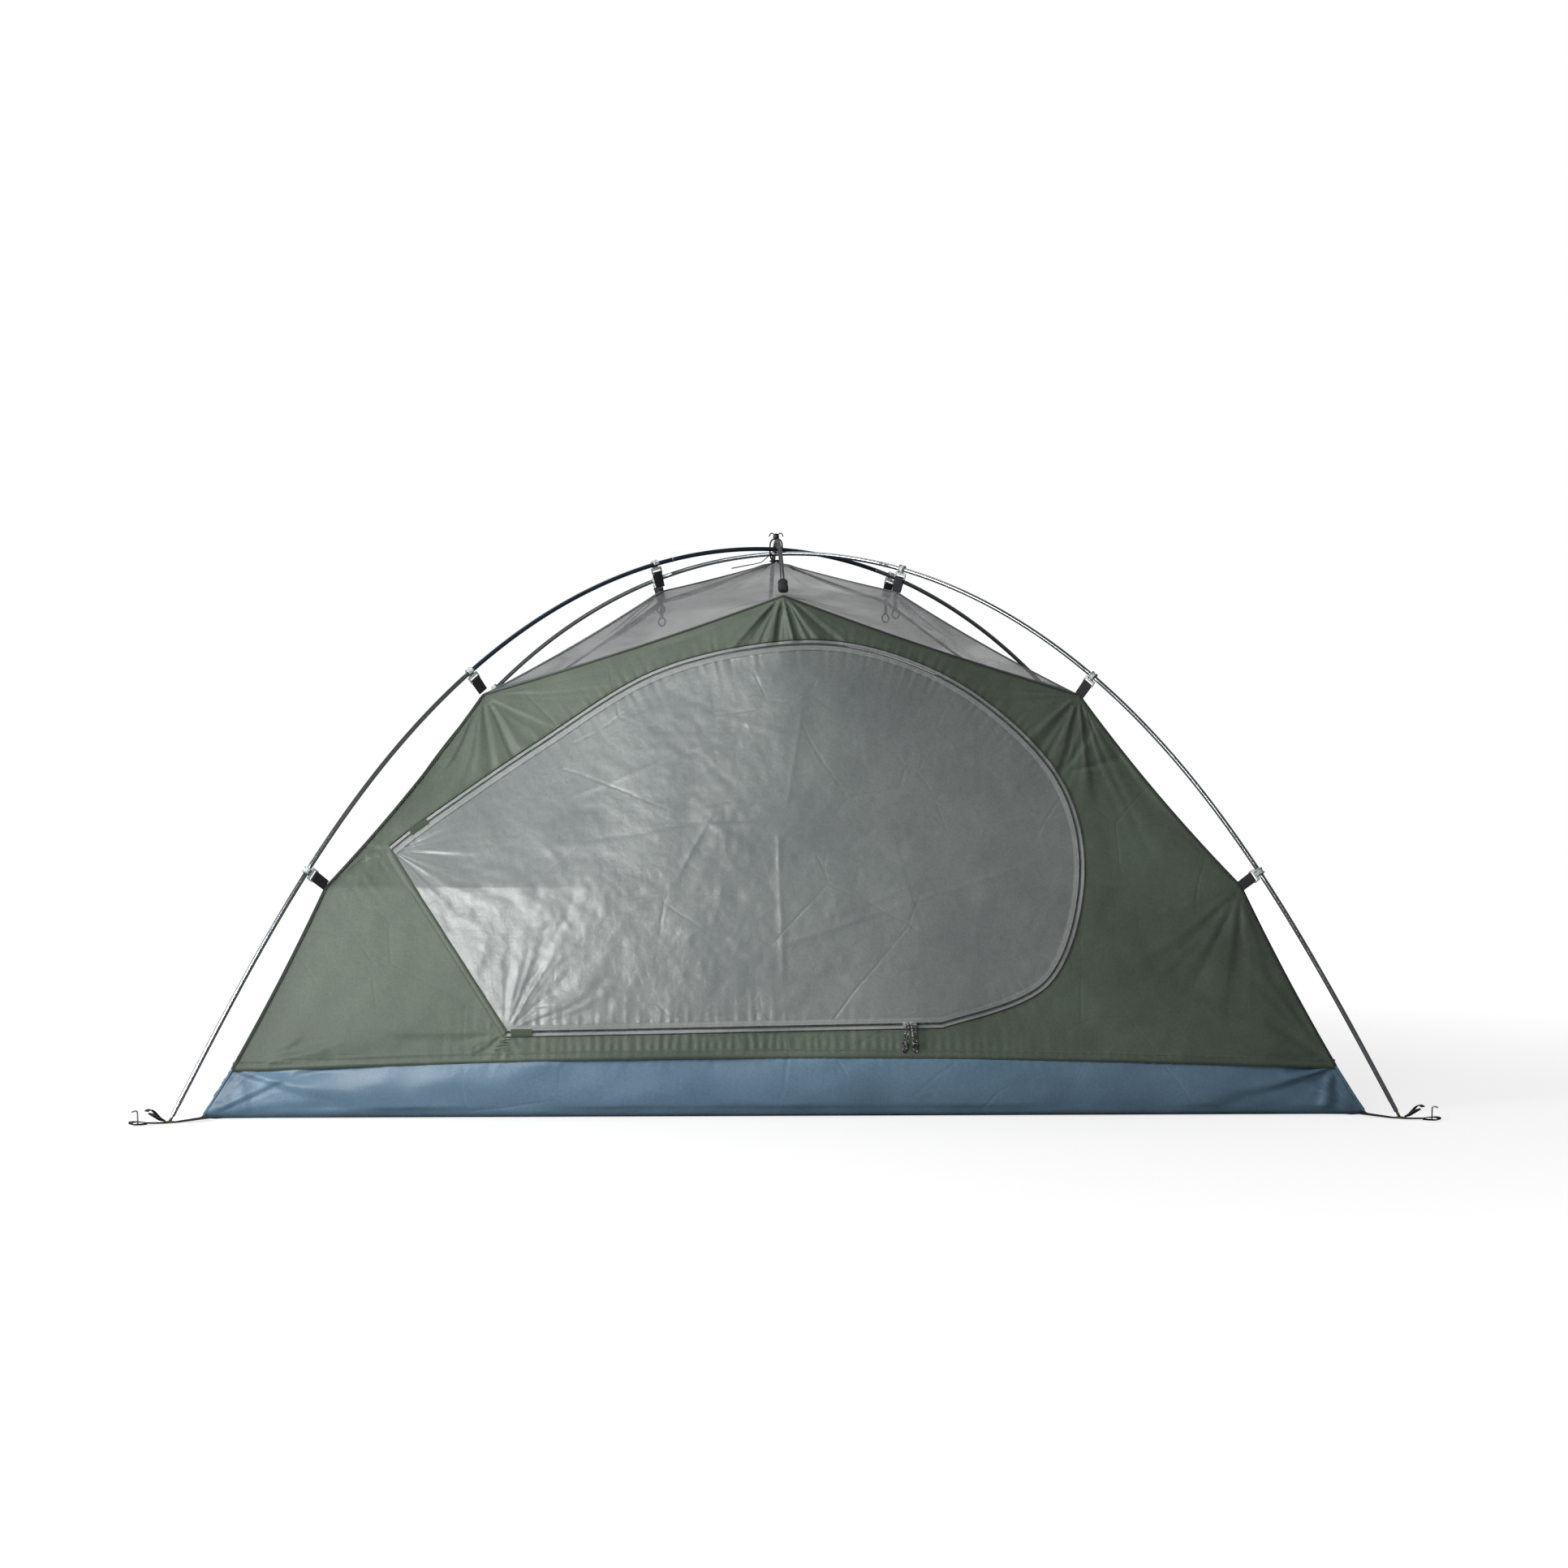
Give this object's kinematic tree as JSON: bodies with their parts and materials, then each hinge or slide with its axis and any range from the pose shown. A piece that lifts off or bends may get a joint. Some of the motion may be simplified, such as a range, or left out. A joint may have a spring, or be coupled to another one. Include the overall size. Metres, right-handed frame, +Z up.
{
  "type": "two-person backpacking tent on poles",
  "caption": "Low dome inner tent with crossed arch poles, a short ridge pole, mesh roof, zipped side doors and a coated bathtub floor.",
  "frame": {"origin": "on the ground under the middle of the tent", "axes": "+X along the sleeping length, +Z up, -Y towards the front door"},
  "size_m": [2.3324, 1.5666, 1.1099],
  "materials": {
    "green_nylon": "woven nylon, dull sheen",
    "grey_door_fabric": "smooth tightly woven nylon with a satin sheen",
    "blue_coated_nylon": "coated nylon, satin",
    "grey_mesh": "fine see-through knitted mesh",
    "silver_aluminium": "polished tube",
    "dark_anodised_aluminium": "dark blue-grey anodised tube",
    "black_elastic": "braided elastic cord",
    "webbing": "woven polyester webbing",
    "clear_plastic": "translucent moulded nylon",
    "black_plastic": "moulded acetal",
    "zip_tape": "knitted zip tape with a nylon coil",
    "slider_metal": "die-cast and plated",
    "pull_cord": "braided reflective cord"
  },
  "bodies": {
    "root": {"bathtub_floor": "blue_coated_nylon", "front_wall": "green_nylon", "front_zip_tape": "zip_tape", "rear_wall": "green_nylon", "rear_zip_tape": "zip_tape", "left_end_panel": "green_nylon", "right_end_panel": "green_nylon", "roof_mesh": "grey_mesh", "pole_a_segment_1": "silver_aluminium", "pole_a_segment_2": "silver_aluminium", "pole_a_segment_3": "dark_anodised_aluminium", "pole_a_segment_4": "dark_anodised_aluminium", "pole_a_segment_5": "silver_aluminium", "pole_a_segment_6": "silver_aluminium", "pole_a_segment_7": "silver_aluminium", "pole_a_shock_cord": "black_elastic", "pole_b_segment_1": "silver_aluminium", "pole_b_segment_2": "silver_aluminium", "pole_b_segment_3": "silver_aluminium", "pole_b_segment_4": "silver_aluminium", "pole_b_segment_5": "silver_aluminium", "pole_b_segment_6": "silver_aluminium", "pole_b_segment_7": "silver_aluminium", "pole_b_shock_cord": "black_elastic", "ridge_pole_segment_1": "silver_aluminium", "ridge_pole_segment_2": "silver_aluminium", "ridge_pole_shock_cord": "black_elastic", "clip_lower_front_left": "clear_plastic", "clip_middle_front_left": "clear_plastic", "clip_upper_front_left": "clear_plastic", "clip_lower_front_right": "clear_plastic", "clip_middle_front_right": "clear_plastic", "clip_upper_front_right": "clear_plastic", "clip_lower_rear_left": "clear_plastic", "clip_middle_rear_left": "clear_plastic", "clip_upper_rear_left": "clear_plastic", "clip_lower_rear_right": "clear_plastic", "clip_middle_rear_right": "clear_plastic", "clip_upper_rear_right": "clear_plastic", "corner_strap_front_left": "webbing", "corner_strap_front_right": "webbing", "corner_strap_rear_left": "webbing", "corner_strap_rear_right": "webbing", "ridge_pocket_front": "webbing", "ridge_pocket_rear": "webbing", "crossing_tie": "black_elastic"},
    "front_door_body": {"front_door": "grey_door_fabric"},
    "front_slider_left_body": {"front_zip_slider_left": "slider_metal", "front_zip_pull_left": "pull_cord"},
    "front_slider_right_body": {"front_zip_slider_right": "slider_metal", "front_zip_pull_right": "pull_cord"},
    "rear_door_body": {"rear_door": "grey_door_fabric"},
    "rear_slider_left_body": {"rear_zip_slider_left": "slider_metal", "rear_zip_pull_left": "pull_cord"},
    "rear_slider_right_body": {"rear_zip_slider_right": "slider_metal", "rear_zip_pull_right": "pull_cord"},
    "buckle_front_left_body": {"ladder_buckle_front_left": "black_plastic"},
    "buckle_front_right_body": {"ladder_buckle_front_right": "black_plastic"},
    "buckle_rear_left_body": {"ladder_buckle_rear_left": "black_plastic"},
    "buckle_rear_right_body": {"ladder_buckle_rear_right": "black_plastic"}
  },
  "joints": [
    {"name": "front_door_hinge", "type": "hinge", "parent": "root", "child": "front_door_body", "pos_m": [-0.617, -0.60697, 0.317], "axis": [0.5377, -0.2756, -0.7968], "range_deg": [0, 50]},
    {"name": "front_zip_slide_left", "type": "slide", "parent": "front_door_body", "child": "front_slider_left_body", "axis": [-0.9998, -0.0045, -0.0178], "range_m": [0, 0.68]},
    {"name": "front_zip_slide_right", "type": "slide", "parent": "front_door_body", "child": "front_slider_right_body", "axis": [0.9998, 0.0045, 0.0178], "range_m": [0, 0.04]},
    {"name": "rear_door_hinge", "type": "hinge", "parent": "root", "child": "rear_door_body", "pos_m": [0.617, 0.60697, 0.317], "axis": [-0.5377, 0.2756, -0.7968], "range_deg": [0, 50]},
    {"name": "rear_zip_slide_left", "type": "slide", "parent": "rear_door_body", "child": "rear_slider_left_body", "axis": [0.9998, 0.0045, -0.0178], "range_m": [0, 0.68]},
    {"name": "rear_zip_slide_right", "type": "slide", "parent": "rear_door_body", "child": "rear_slider_right_body", "axis": [-0.9998, -0.0045, 0.0178], "range_m": [0, 0.04]},
    {"name": "buckle_tilt_front_left", "type": "hinge", "parent": "root", "child": "buckle_front_left_body", "pos_m": [-1.11247, -0.74333, 0.0064], "axis": [-0.5556, 0.8315, 0], "range_deg": [-18, 40]},
    {"name": "buckle_tilt_front_right", "type": "hinge", "parent": "root", "child": "buckle_front_right_body", "pos_m": [1.11247, -0.74333, 0.0064], "axis": [-0.5556, -0.8315, 0], "range_deg": [-18, 40]},
    {"name": "buckle_tilt_rear_left", "type": "hinge", "parent": "root", "child": "buckle_rear_left_body", "pos_m": [-1.11247, 0.74333, 0.0064], "axis": [0.5556, 0.8315, 0], "range_deg": [-18, 40]},
    {"name": "buckle_tilt_rear_right", "type": "hinge", "parent": "root", "child": "buckle_rear_right_body", "pos_m": [1.11247, 0.74333, 0.0064], "axis": [0.5556, -0.8315, 0], "range_deg": [-18, 40]}
  ]
}
